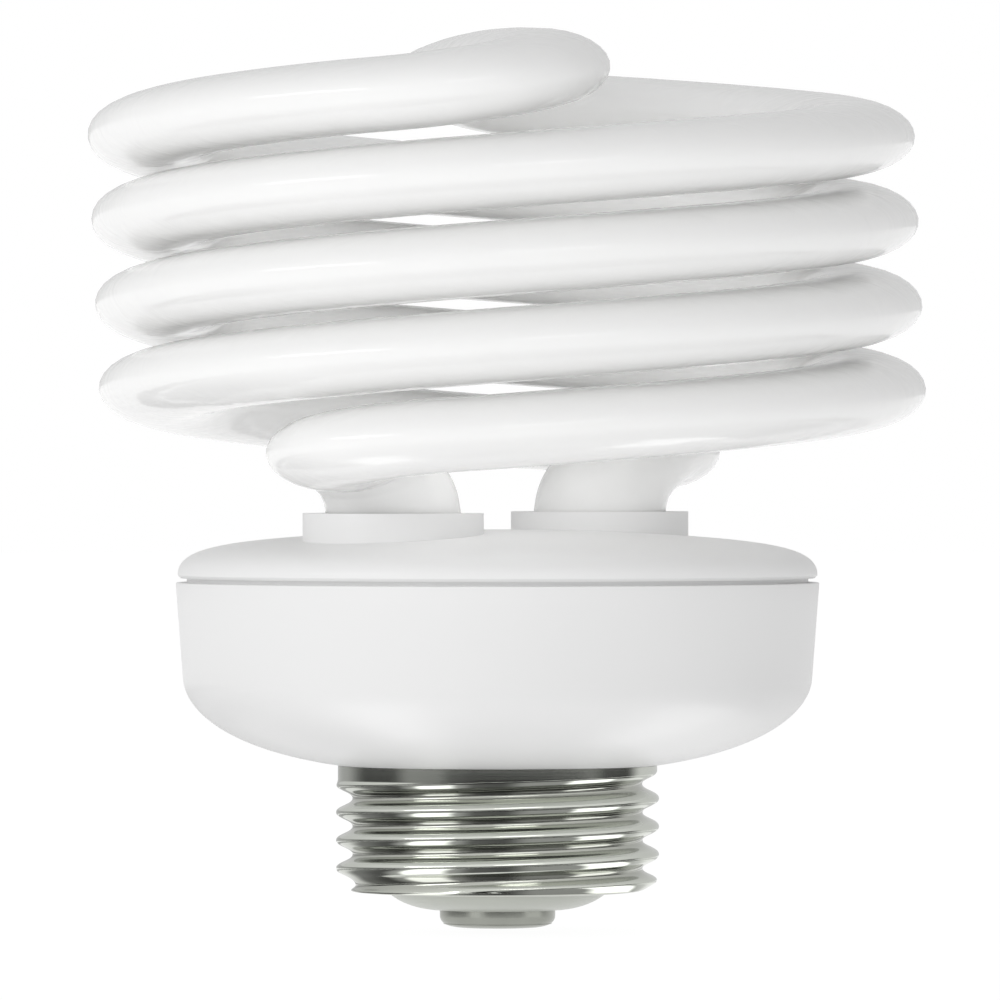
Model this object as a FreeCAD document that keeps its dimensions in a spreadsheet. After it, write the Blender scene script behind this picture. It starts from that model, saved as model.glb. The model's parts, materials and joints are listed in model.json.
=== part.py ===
"""Spiral energy saving bulb with a screw cap, as a parametric document in millimetres.

The origin is the tip of the centre contact, +Z runs up the cap axis to the coil, and -Y is the front.
Every driving size is a cell of the sheet, and each piece takes its sizes and its seat from those cells.
"""
import FreeCAD
import Part

import math
import os

import Sketcher
from FreeCAD import Placement, Rotation, Vector

SIZES = {
    # Screw cap, from the contact's tip upwards
    "contact_radius": 4.7,
    "contact_height": 1.45,
    "contact_round": 0.6,
    "contact_sheet": 0.35,
    "contact_seam": 0.1,
    "insulator_height": 1.45,
    "insulator_seat": 0.9,
    "insulator_bore": 0.8,
    "lip_radius": 8.95,
    "lip_round": 1.5,
    "crest_radius": 13.15,
    "band_radius": 13.0,
    "thread_depth": 1.34,
    "band_height": 0.7,
    "band_blend": 1.8,
    "shell_top": 13.2,
    "shell_sheet": 0.3,
    # Lower housing
    "rim_radius": 26.2,
    "rim_height": 14.9,
    "side_height": 8.0,
    "side_draft": 0.6,
    "bowl_shoulder": 2.48,
    "bowl_sweep": 3.6,
    "bowl_foot": 1.28,
    "housing_wall": 1.6,
    "neck_wall": 1.6,
    "neck_length": 8.6,
    "seat_height": 0.4,
    "seat_fit": 0.1,
    "rim_wall": 1.55,
    "rib_count": 6,
    "rib_width": 1.3,
    "rib_reach": 1.4,
    "rib_length": 4.2,
    "board_drop": 5.2,
    # Top cover
    "cover_inset": 0.15,
    "seam_gap": 0.35,
    "seam_depth": 0.75,
    "cover_rise": 4.3,
    "crown_radius": 12.0,
    "crown_drop": 0.3,
    "edge_reach": 3.5,
    "edge_drop": 1.5,
    "edge_lip": 0.25,
    "cover_wall": 1.5,
    "skirt_wall": 1.2,
    "skirt_fit": 0.1,
    "hook_count": 4,
    "hook_reach": 0.5,
    "hook_height": 1.3,
    "hook_angle": 22.0,
    "hook_root": 0.4,
    "collar_radius": 7.3,
    "collar_top": 5.7,
    "sleeve_depth": 0.9,
    "seal_wall": 0.65,
    "seal_fit": 0.08,
    "seal_recess": 0.9,
    # Spiral tube
    "tube_width": 10.9,
    "tube_height": 5.94,
    "leg_side": 8.4,
    "leg_depth": 10.5,
    "leg_end": 1.4,
    "leg_bend": 9.0,
    "leg_bulge": 0.9,
    "coil_radius": 28.2,
    "coil_start": 12.3,
    "coil_lead": 13.74,
    "coil_turns": 2.0,
    "nose_radius": 7.0,
    "coil_shift": 1.45,
    "coil_lean": 0.045,
    "bridge_radius": 8.0,
    "bridge_side": 3.05,
    "bridge_rise": 2.25,
    # Circuit board and what hangs from it
    "board_fit": 0.75,
    "board_thickness": 1.6,
    "wire_radius": 0.3,
    "can_edge": 0.5,
    "can_crimp": 0.5,
    "crimp_place": 2.2,
    "crimp_reach": 0.6,
    "electrolytic_radius": 5.0,
    "electrolytic_length": 15.5,
    "choke_length": 13.0,
    "choke_width": 10.0,
    "choke_height": 3.0,
    "choke_leg": 3.0,
    "choke_yoke": 1.7,
    "choke_gap": 0.9,
    "bobbin_wall": 0.5,
    "winding_thickness": 0.9,
    "toroid_radius": 4.5,
    "toroid_bore": 2.4,
    "toroid_height": 3.6,
    "toroid_turns": 0.5,
    "turns_angle": 55.0,
    "drum_radius": 4.0,
    "drum_height": 5.8,
    "drum_waist": 2.0,
    "drum_flange": 0.9,
    "drum_recess": 0.4,
    "film_length": 10.0,
    "film_width": 4.4,
    "film_height": 6.4,
    "film_round": 0.95,
    "film_gap": 1.95,
    "transistor_length": 7.8,
    "transistor_width": 3.0,
    "transistor_height": 5.6,
    "case_gap": 1.4,
    "lead_gap": 1.13,
    "pin_length": 0.7,
    "pin_width": 0.8,
    "pin_sheet": 0.5,
    "pin_pitch": 2.26,
    "diode_radius": 1.3,
    "diode_length": 5.0,
    "diode_drop": 1.6,
    "lead_reach": 1.1,
    "lead_bend": 0.6,
    "diode_pitch": 3.4,
    "fuse_radius": 1.3,
    "fuse_length": 6.5,
    "fuse_place": 7.4,
    "wire_rise": 1.0,
    "wire_bend": 0.9,
}

UP = Vector(0, 0, 1)
RING_POLES = 12
TURN = 2 * math.pi

# How far along its tangents a quarter circle's handles lie
BEND = 0.5523

# Angles about the coil's axis are in degrees from the front, and shares run from 0 to 1 along a stretch
COIL_STEP = 15.0
COIL_JOIN = -16.5
LEG_SHARES = (0.0, 0.34, 0.67, 1.0)
LEG_SWINGS = (26.0, 48.0, 68.0)
NOSE_HEADINGS = (-95.0, -69.0, -43.0)
NOSE_DIP = 0.97
BRIDGE_TURNS = ((0.16, 12.0), (0.36, 38.0), (0.58, 64.0), (0.76, 90.0))
BRIDGE_SHARES = (0.64, 0.3)

# Where the pieces under the board stand, as shares of the board's radius to the right and to the back
RING_PLACE = (-0.606, 0.35)
DRUM_PLACE = (0.572, 0.33)
FILM_PLACE = 0.61
DIODE_PLACE = -0.728


class Dim:
    """A length that carries both its number and the expression it came from."""

    def __init__(self, number, text):
        self.number = float(number)
        self.text = text

    @staticmethod
    def of(value):
        return value if isinstance(value, Dim) else Dim(value, repr(float(value)))

    def join(self, other, sign, number):
        return Dim(number, f"({self.text} {sign} {Dim.of(other).text})")

    def __add__(self, other):
        return self.join(other, "+", self.number + Dim.of(other).number)

    def __sub__(self, other):
        return self.join(other, "-", self.number - Dim.of(other).number)

    def __mul__(self, other):
        return self.join(other, "*", self.number * Dim.of(other).number)

    def __truediv__(self, other):
        return self.join(other, "/", self.number / Dim.of(other).number)

    def __neg__(self):
        return Dim(0, "0") - self


class Sizes:
    """The sheet's cells by name, each read back as a Dim."""

    def __init__(self, doc, values):
        self.sheet = doc.addObject("Spreadsheet::Sheet", "Sizes")
        for row, (alias, number) in enumerate(values.items(), start=1):
            self.sheet.set(f"A{row}", alias)
            self.sheet.set(f"B{row}", str(number))
            self.sheet.setAlias(f"B{row}", alias)
        doc.recompute()

    def __getattr__(self, alias):
        return Dim(getattr(self.sheet, alias), f"Sizes.{alias}")


def bind(thing, **values):
    """Set properties of an object to expressions; double underscores stand for dots."""
    for name, value in values.items():
        thing.setExpression(name.replace("__", "."), Dim.of(value).text)


def place(thing, x=0, y=0, z=0):
    bind(thing, Placement__Base__x=x, Placement__Base__y=y, Placement__Base__z=z)
    return thing


def box(doc, name, length, width, height, x, y, z):
    """A box centred on x and y, with its base at z."""
    piece = doc.addObject("Part::Box", name)
    bind(piece, Length=length, Width=width, Height=height)
    return place(piece, Dim.of(x) - Dim.of(length) / 2, Dim.of(y) - Dim.of(width) / 2, z)


def cylinder(doc, name, radius, height, x, y, z):
    piece = doc.addObject("Part::Cylinder", name)
    bind(piece, Radius=radius, Height=height)
    return place(piece, x, y, z)


def lying_cylinder(doc, name, radius, length, x, y, z):
    """A cylinder along Y, centred on x and y, with its axis at z."""
    piece = cylinder(doc, name, radius, length, x, Dim.of(y) + Dim.of(length) / 2, z)
    piece.Placement.Rotation = Rotation(Vector(1, 0, 0), 90)
    return piece


def fuse(doc, name, pieces):
    union = doc.addObject("Part::MultiFuse", name)
    union.Shapes = pieces
    return union


def cut(doc, name, base, tool):
    rest = doc.addObject("Part::Cut", name)
    rest.Base = base
    rest.Tool = tool
    return rest


def new_body(doc, name):
    body = doc.addObject("PartDesign::Body", name)
    body.Label = name
    return body


def origin_feature(body, role):
    return next(item for item in body.Origin.OriginFeatures if item.Role == role)


def new_sketch(body, name, plane, lift=0):
    """A sketch on one of the body's own origin planes, lifted along that plane's normal."""
    sketch = body.newObject("Sketcher::SketchObject", name)
    sketch.AttachmentSupport = (origin_feature(body, plane), [""])
    sketch.MapMode = "FlatFace"
    bind(sketch, AttachmentOffset__Base__z=lift)
    return sketch


def pin_point(sketch, edge, end, across, along):
    """Hold one end of an edge at its two coordinates in the sketch."""
    for kind, value in (("DistanceX", across), ("DistanceY", along)):
        value = Dim.of(value)
        index = sketch.addConstraint(Sketcher.Constraint(kind, -1, 1, edge, end, value.number))
        sketch.setExpression(f"Constraints[{index}]", value.text)


def draw_outline(sketch, outline):
    """Draw a closed outline. Each item is a corner, or two handles that bend the edge to the next corner."""
    corners = [item for item in outline if len(item) == 2]
    handles = {}
    seen = 0
    for item in outline:
        if len(item) == 2:
            seen += 1
        else:
            handles[seen - 1] = item
    points = [Vector(Dim.of(across).number, Dim.of(along).number, 0) for across, along in corners]
    for index, start in enumerate(points):
        end = points[(index + 1) % len(points)]
        if index in handles:
            bend = [Vector(Dim.of(item).number, Dim.of(rise).number, 0)
                    for item, rise in zip(handles[index][0::2], handles[index][1::2])]
            curve = Part.BSplineCurve()
            curve.buildFromPoles([start] + bend + [end])
            sketch.addGeometry(curve)
        else:
            sketch.addGeometry(Part.LineSegment(start, end))
        pin_point(sketch, index, 1, *corners[index])
    for index in range(len(points)):
        following = (index + 1) % len(points)
        sketch.addConstraint(Sketcher.Constraint("Coincident", index, 2, following, 1))


def turn(body, name, outline, angle=360.0):
    """Revolve an outline of radius and height about the body's Z axis."""
    sketch = new_sketch(body, name + "Profile", "XZ_Plane")
    draw_outline(sketch, outline)
    feature = body.newObject("PartDesign::Revolution", name)
    feature.Profile = sketch
    feature.ReferenceAxis = (sketch, ["V_Axis"])
    feature.Angle = angle
    return feature


def draw_circle(sketch, radius, x, y):
    radius, x, y = Dim.of(radius), Dim.of(x), Dim.of(y)
    edge = sketch.addGeometry(Part.Circle(Vector(x.number, y.number, 0), UP, radius.number))
    pin_point(sketch, edge, 3, x, y)
    index = sketch.addConstraint(Sketcher.Constraint("Radius", edge, radius.number))
    sketch.setExpression(f"Constraints[{index}]", radius.text)


def ring_of(body, name, feature, count):
    """Repeat a feature evenly about the body's Z axis."""
    pattern = body.newObject("PartDesign::PolarPattern", name)
    pattern.Originals = [feature]
    pattern.Axis = (origin_feature(body, "Z_Axis"), [""])
    pattern.Angle = 360
    bind(pattern, Occurrences=count)
    body.Tip = pattern
    return pattern


def skin(columns, closed_poles):
    """A smooth face through rows of points, whose ring direction is closed and takes its points as poles."""
    steps = [float(index) for index in range(len(columns[0]))]
    curves = []
    for column in columns:
        curve = Part.BSplineCurve()
        curve.interpolate(Points=column, Parameters=steps)
        curves.append(curve)
    poles = [[curve.getPole(row + 1) for curve in curves] for row in range(curves[0].NbPoles)]
    ring_knots = [float(index) for index in range(closed_poles + 1)]
    surface = Part.BSplineSurface()
    surface.buildFromPolesMultsKnots(
        poles, curves[0].getMultiplicities(), [1] * (closed_poles + 1), curves[0].getKnots(), ring_knots,
        False, True, 3, 3)
    return surface.toShape()


def rounding(count):
    """How far a closed cubic ring of poles falls short of the circle through them."""
    return (2 + math.cos(TURN / count)) / 3


def feature_of(doc, name, shape):
    piece = doc.addObject("Part::Feature", name)
    piece.Shape = shape
    piece.Placement = Placement()
    return piece


def bent_wire(doc, name, radius, bend, corners):
    """A round wire through the given corners, with an arc of one radius at each."""
    corners = [Vector(*(Dim.of(value).number for value in corner)) for corner in corners]
    bend = Dim.of(bend).number
    edges = []
    start = corners[0]
    for before, corner, after in zip(corners, corners[1:], corners[2:]):
        back = (before - corner).normalize()
        ahead = (after - corner).normalize()
        half = back.getAngle(ahead) / 2
        entry = corner + back * (bend / math.tan(half))
        leave = corner + ahead * (bend / math.tan(half))
        middle = corner + (back + ahead).normalize() * (bend / math.sin(half) - bend)
        edges.append(Part.LineSegment(start, entry).toShape())
        edges.append(Part.Arc(entry, middle, leave).toShape())
        start = leave
    edges.append(Part.LineSegment(start, corners[-1]).toShape())
    heading = (corners[1] - corners[0]).normalize()
    section = Part.Wire([Part.Circle(corners[0], heading, Dim.of(radius).number).toShape()])
    return feature_of(doc, name, Part.Wire(edges).makePipeShell([section], True, False))


def heights(s):
    """The levels that several pieces share, from the contact's tip up."""
    rim = s.shell_top + s.rim_height
    board_under = rim - s.board_drop
    cover_edge = rim + s.seam_gap
    return {
        "insulator_top": s.contact_height + s.insulator_height + s.insulator_seat,
        "lip": s.contact_height + s.insulator_height,
        "side": rim - s.side_height,
        "rim": rim,
        "board_under": board_under,
        "board_top": board_under + s.board_thickness,
        "cover_edge": cover_edge,
        "sleeve": rim - s.sleeve_depth,
        "leg_foot": rim - s.leg_end,
        "collar": rim + s.collar_top,
    }


def centre_contact(doc, s, level):
    """Drawn cup of the centre contact, open towards the insulator."""
    body = new_body(doc, "centre_contact")
    inner = s.contact_radius - s.contact_sheet
    turn(body, "ContactCup", [
        (0, 0),
        (s.contact_radius - s.contact_round, 0),
        (s.contact_radius, 0, s.contact_radius, 0),
        (s.contact_radius, s.contact_round),
        (s.contact_radius, s.contact_height),
        (inner, s.contact_height),
        (inner, s.contact_sheet),
        (0, s.contact_sheet),
    ])
    return body


def insulator(doc, s, level):
    """Moulded disc that closes the shell and carries the contact on a spigot inside its cup."""
    body = new_body(doc, "insulator")
    spigot = s.contact_radius - s.contact_sheet - s.seat_fit
    turn(body, "InsulatorDisc", [
        (s.insulator_bore, s.contact_sheet),
        (spigot, s.contact_sheet),
        (spigot, s.contact_height),
        (s.contact_radius + s.contact_seam, s.contact_height),
        (s.lip_radius * 0.75, s.contact_height, s.lip_radius * 0.92, level["lip"] - s.insulator_height / 2),
        (s.lip_radius, level["lip"]),
        (s.lip_radius, level["insulator_top"]),
        (s.insulator_bore, level["insulator_top"]),
    ])
    return body


def screw_shell(doc, s, level):
    """Drawn sheet shell at the thread's crest, with a rounded lip and a top that steps in to the seat."""
    body = new_body(doc, "screw_shell")
    lip, top, sheet = level["lip"], s.shell_top, s.shell_sheet
    flat = s.crest_radius - s.lip_round
    wall = lip + s.lip_round
    shoulder = top - s.band_blend
    band = shoulder + s.band_height
    turn(body, "ShellWall", [
        (s.lip_radius, lip),
        (flat, lip),
        (flat + s.lip_round * BEND, lip, s.crest_radius, wall - s.lip_round * BEND),
        (s.crest_radius, wall),
        (s.crest_radius, shoulder),
        (s.band_radius, band),
        (s.band_radius, top),
        (s.band_radius - sheet, top),
        (s.band_radius - sheet, band),
        (s.crest_radius - sheet, shoulder),
        (s.crest_radius - sheet, wall),
        (s.crest_radius - sheet, wall - (s.lip_round - sheet) * BEND,
         flat + (s.lip_round - sheet) * BEND, lip + sheet),
        (flat, lip + sheet),
        (s.lip_radius, lip + sheet),
    ])
    return body


def lower_housing(doc, s, level):
    """Moulded bowl with the neck that the shell is staked to, and ribs that carry the board."""
    body = new_body(doc, "lower_housing")
    foot = s.rim_radius - s.side_draft
    inner_rim = s.rim_radius - s.rim_wall
    inner_side = foot - s.housing_wall
    floor = s.shell_top + s.housing_wall
    seat = s.band_radius - s.shell_sheet - s.seat_fit
    neck = s.crest_radius - s.thread_depth - s.shell_sheet - s.seat_fit
    bore = neck - s.neck_wall
    neck_end = s.shell_top - s.neck_length
    turn(body, "HousingBowl", [
        (s.rim_radius, level["rim"]),
        (foot, level["side"]),
        (foot - s.side_draft / 2, level["side"] - s.bowl_shoulder,
         foot - s.bowl_sweep, s.shell_top + s.bowl_foot),
        (s.band_radius, s.shell_top),
        (seat, s.shell_top),
        (seat, s.shell_top - s.seat_height),
        (neck, s.shell_top - s.seat_height),
        (neck, neck_end),
        (bore, neck_end),
        (bore, floor),
        (bore + s.housing_wall, floor),
        (inner_side - s.bowl_sweep, floor + s.bowl_foot,
         inner_side - s.side_draft / 2, level["side"] - s.bowl_shoulder),
        (inner_side, level["side"]),
        (inner_rim, level["board_under"]),
        (inner_rim, level["rim"]),
    ])
    groove_low = level["board_top"] + s.hook_height / 2
    sketch = new_sketch(body, "SnapGrooveProfile", "XZ_Plane")
    deep = inner_rim + s.hook_reach * 0.9
    draw_outline(sketch, [
        (inner_rim - 1, groove_low),
        (deep, groove_low),
        (deep, groove_low + s.hook_height),
        (inner_rim - 1, groove_low + s.hook_height),
    ])
    groove = body.newObject("PartDesign::Groove", "SnapGroove")
    groove.Profile = sketch
    groove.ReferenceAxis = (sketch, ["V_Axis"])
    groove.Angle = 360
    rib_inside = inner_side - s.rib_reach
    into_wall = inner_side + s.housing_wall / 2
    sketch = new_sketch(body, "BoardRibProfile", "XZ_Plane", -s.rib_width / 2)
    draw_outline(sketch, [
        (rib_inside, level["board_under"]),
        (into_wall, level["board_under"]),
        (into_wall, level["side"]),
        (inner_side - s.rib_reach / 2, level["board_under"] - s.rib_length),
        (rib_inside, level["board_under"] - s.rib_length),
    ])
    rib = body.newObject("PartDesign::Pad", "BoardRib")
    rib.Profile = sketch
    bind(rib, Length=s.rib_width)
    ring_of(body, "BoardRibs", rib, s.rib_count)
    return body


def top_cover(doc, s, level):
    """Moulded cover: crowned top, skirt with snap hooks, and a collar with a sleeve for each leg."""
    body = new_body(doc, "top_cover")
    edge = s.rim_radius - s.cover_inset
    outer_skirt = s.rim_radius - s.rim_wall - s.skirt_fit
    inner_skirt = outer_skirt - s.skirt_wall
    crown = level["rim"] + s.cover_rise
    under = crown - s.cover_wall
    flat = s.crown_radius / 3
    turn(body, "CoverCrown", [
        (0, crown),
        (flat, crown, flat * 2, crown - s.crown_drop / 4),
        (s.crown_radius, crown - s.crown_drop),
        (edge - s.edge_reach, crown - (s.crown_drop + s.edge_drop) / 2, edge, crown - s.edge_drop),
        (edge, level["cover_edge"] + s.edge_lip),
        (edge - s.edge_lip, level["cover_edge"]),
        (edge - s.seam_depth, level["cover_edge"]),
        (edge - s.seam_depth, level["rim"]),
        (outer_skirt, level["rim"]),
        (outer_skirt, level["board_top"]),
        (inner_skirt, level["board_top"]),
        (inner_skirt, level["rim"]),
        (inner_skirt, under - s.edge_drop,
         inner_skirt - s.cover_wall, under - (s.crown_drop + s.edge_drop) / 2),
        (s.crown_radius, under - s.crown_drop),
        (flat * 2, under - s.crown_drop / 4, flat, under),
        (0, under),
    ])
    hook_top = level["board_top"] + s.hook_height * 1.4
    hook = turn(body, "SnapHook", [
        (outer_skirt - s.hook_root, hook_top),
        (outer_skirt, hook_top),
        (outer_skirt + s.hook_reach, hook_top - s.hook_height * 0.2),
        (outer_skirt, hook_top - s.hook_height * 0.8),
        (outer_skirt - s.hook_root, hook_top - s.hook_height * 0.8),
    ])
    bind(hook, Angle=s.hook_angle)
    ring_of(body, "SnapHooks", hook, s.hook_count)
    sides = ((-s.leg_side, -s.leg_depth), (s.leg_side, s.leg_depth))
    sketch = new_sketch(body, "CollarOutline", "XY_Plane", level["sleeve"])
    for x, y in sides:
        draw_circle(sketch, s.collar_radius, x, y)
    collars = body.newObject("PartDesign::Pad", "Collars")
    collars.Profile = sketch
    bind(collars, Length=level["collar"] - level["sleeve"])
    sketch = new_sketch(body, "SleeveBore", "XY_Plane", level["sleeve"] - 1)
    bore = s.tube_width / 2 + s.seal_wall + s.seal_fit
    for x, y in sides:
        draw_circle(sketch, bore, x, y)
    sleeves = body.newObject("PartDesign::Pocket", "Sleeves")
    sleeves.Profile = sketch
    sleeves.Reversed = True
    bind(sleeves, Length=level["collar"] - level["sleeve"] + 2)
    body.Tip = sleeves
    return body


def smooth_step(value):
    share = min(1.0, max(0.0, value))
    return share * share * (3 - 2 * share)


def on_ring(radius, degrees):
    """The point of a circle about Z that lies so many degrees round from the front."""
    angle = math.radians(degrees)
    return Vector(radius * math.sin(angle), -radius * math.cos(angle), 0)


def arm_path(s, level):
    """Middle line of one arm about the coil's own axis, from its foot to the crossing on top."""
    leg = Vector(-s.leg_side.number, -s.leg_depth.number, 0)
    foot, collar = level["leg_foot"].number, level["collar"].number
    stretch = s.tube_width.number / s.tube_height.number
    bend, nose, coil = s.leg_bend.number, s.nose_radius.number, s.coil_radius.number
    start = level["rim"].number + s.coil_start.number
    lead, turns = s.coil_lead.number, s.coil_turns.number
    points = [leg + UP * (foot + (collar - foot) * share) for share in LEG_SHARES]

    centre = on_ring(coil - nose, COIL_JOIN)
    away = centre + Vector(-nose, 0, 0) - leg
    span = away.Length
    away.normalize()
    outward = Vector(away.y, -away.x, 0)
    for degrees in LEG_SWINGS:
        swung = math.radians(degrees)
        gone = bend * (1 - math.cos(swung))
        bulge = s.leg_bulge.number * math.sin(math.pi * min(1.0, gone / span))
        rise = bend * math.sin(swung) / stretch
        points.append(leg + away * gone + outward * bulge + UP * (collar + rise))

    crest = collar + NOSE_DIP * bend / stretch
    joined = start + lead * COIL_JOIN / 360
    for heading in NOSE_HEADINGS:
        share = (heading - NOSE_HEADINGS[0]) / (COIL_JOIN - NOSE_HEADINGS[0])
        points.append(centre + on_ring(nose, heading) + UP * (crest + (joined - crest) * share))

    bridge, out = s.bridge_radius.number, s.bridge_side.number
    hub = coil - bridge
    lean_in = math.degrees(math.asin((bridge - out) / hub))
    last = 360.0 * turns - lean_in
    steps = int((last - COIL_JOIN) / COIL_STEP)
    for step in range(steps + 1):
        turned = COIL_JOIN + (last - COIL_JOIN) * step / steps
        points.append(on_ring(coil, turned) + UP * (start + lead * turned / 360))

    left = start + lead * last / 360
    crossing = start + lead * turns + s.bridge_rise.number
    hub_at = on_ring(hub, -lean_in)
    for share, heading in BRIDGE_TURNS:
        points.append(hub_at + on_ring(bridge, heading) + UP * (left + (crossing - left) * share))
    for share in BRIDGE_SHARES:
        aside = out * share * 1.15
        height = left + (crossing - left) * (1 - 0.24 * share ** 2)
        points.append(Vector(aside, hub_at.y * share, height))
    return points


def spiral_tube(doc, s, level):
    """One sealed glass tube: two arms wound side by side, joined across the top of the coil."""
    arm = arm_path(s, level)
    top = s.coil_turns.number * s.coil_lead.number + s.bridge_rise.number
    crossing = Vector(0, 0, level["rim"].number + s.coil_start.number + top)
    back = [Vector(-point.x, -point.y, point.z) for point in reversed(arm)]
    line = []
    settle = level["collar"].number + s.leg_bend.number * s.tube_height.number / s.tube_width.number
    for point in arm + [crossing] + back:
        above = point.z - settle
        aside = s.coil_shift.number * smooth_step(above / 5) - s.coil_lean.number * max(0.0, above)
        line.append(point + Vector(aside, 0, 0))
    flat = s.tube_height.number / s.tube_width.number
    round_line = [Vector(point.x, point.y, point.z / flat) for point in line]
    steps = [float(index) for index in range(len(line))]
    curve = Part.BSplineCurve()
    curve.interpolate(Points=round_line, Parameters=steps)
    reach = s.tube_width.number / 2 / rounding(RING_POLES)
    normal = Vector(1, 0, 0)
    columns = [[] for _ in range(RING_POLES)]
    for step, middle in zip(steps, round_line):
        along = curve.tangent(step)[0]
        normal = (normal - along * normal.dot(along)).normalize()
        across = along.cross(normal)
        for index in range(RING_POLES):
            angle = TURN * index / RING_POLES
            point = middle + (normal * math.cos(angle) + across * math.sin(angle)) * reach
            columns[index].append(Vector(point.x, point.y, point.z * flat))
    wall = skin(columns, RING_POLES)
    ends = [Part.Face(Part.Wire([edge])) for edge in wall.Edges if edge.BoundBox.ZLength < 0.01]
    shell = Part.Shell([wall] + ends)
    shell.sewShape()
    return feature_of(doc, "spiral_tube", Part.Solid(shell))


def tube_seals(doc, s, level):
    """Cement ring in each sleeve, between the collar and the leg that it holds."""
    seals = []
    inner = s.tube_width / 2 + s.seal_fit
    depth = level["collar"] - level["sleeve"] - s.seal_recess
    for name, side in (("front", -1), ("back", 1)):
        x, y = s.leg_side * side, s.leg_depth * side
        outside = cylinder(doc, f"SealOutside_{name}", inner + s.seal_wall - s.seal_fit, depth,
                           x, y, level["sleeve"])
        bore = cylinder(doc, f"SealBore_{name}", inner, depth, x, y, level["sleeve"])
        seals.append(cut(doc, f"tube_seal_{name}", outside, bore))
    return seals


def board_radius(s):
    return s.rim_radius - s.rim_wall - s.board_fit


def on_board(s, place_at):
    """The place under the board that lies at these shares of the board's radius."""
    return board_radius(s) * place_at[0], board_radius(s) * place_at[1]


def circuit_board(doc, s, level):
    """Round board on the housing's ribs, clamped by the cover's skirt."""
    body = new_body(doc, "circuit_board")
    turn(body, "BoardDisc", [
        (0, level["board_under"]),
        (board_radius(s), level["board_under"]),
        (board_radius(s), level["board_top"]),
        (0, level["board_top"]),
    ])
    return body


def lead_wires(doc, s, level):
    """Two filament wires from the foot of each leg down to the board."""
    wires = []
    for number, (side, step) in enumerate(((-1, -1), (-1, 1), (1, -1), (1, 1)), start=1):
        x = s.leg_side * side + s.tube_width * 0.2 * step
        drop = level["leg_foot"] - level["board_top"]
        wires.append(cylinder(doc, f"lead_wire_{number}", s.wire_radius, drop,
                              x, s.leg_depth * side, level["board_top"]))
    return wires


def electrolytic_capacitor(doc, s, level):
    """Smoothing capacitor that hangs from the board's middle into the neck, crimped near its leads."""
    body = new_body(doc, "electrolytic_capacitor")
    radius, top = s.electrolytic_radius, level["board_under"]
    crimp = top - s.crimp_place
    turn(body, "ElectrolyticCan", [
        (0, top),
        (radius - s.can_edge, top),
        (radius, top - s.can_edge),
        (radius, crimp + s.crimp_reach),
        (radius - s.can_crimp, crimp),
        (radius, crimp - s.crimp_reach),
        (radius, top - s.electrolytic_length + s.can_edge),
        (radius - s.can_edge, top - s.electrolytic_length),
        (0, top - s.electrolytic_length),
    ])
    return body


def ballast_choke(doc, s, level):
    """Ferrite core of two windows, the bobbin on its middle leg and the winding on the bobbin."""
    y = s.electrolytic_radius + s.choke_gap + s.choke_width / 2
    window = (s.choke_length - s.choke_leg - s.choke_yoke * 2) / 2
    gap = s.choke_width - s.choke_yoke * 2
    wall, wound = s.bobbin_wall, s.winding_thickness
    middle = level["board_under"] - wall - wound - wall - s.choke_height / 2
    low = middle - s.choke_height / 2
    frame = box(doc, "ChokeFrame", s.choke_length, s.choke_width, s.choke_height, 0, y, low)
    offset = (s.choke_leg + window) / 2
    windows = [box(doc, f"ChokeWindow_{name}", window, gap, s.choke_height, offset * side, y, low)
               for name, side in (("left", -1), ("right", 1))]
    core = cut(doc, "choke_core", frame, fuse(doc, "ChokeWindows", windows))

    def sleeve(name, growth, length):
        return box(doc, name, s.choke_leg + growth * 2, length, s.choke_height + growth * 2,
                   0, y, low - growth)

    barrel = sleeve("BobbinBarrel", wall, gap)
    flange_height = wall + wound
    flanges = [
        box(doc, f"BobbinFlange_{name}", s.choke_leg + flange_height * 2, wall,
            s.choke_height + (flange_height + wall) * 2, 0, y + (gap - wall) / 2 * side,
            low - flange_height - wall)
        for name, side in (("front", -1), ("back", 1))
    ]
    solid = fuse(doc, "BobbinSolid", [barrel] + flanges)
    bobbin = cut(doc, "choke_bobbin", solid, sleeve("BobbinHole", Dim.of(0), gap))
    outside = sleeve("WindingOutside", wall + wound, gap - wall * 2)
    winding = cut(doc, "choke_winding", outside, sleeve("WindingHole", wall, gap))
    return [core, bobbin, winding]


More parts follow.
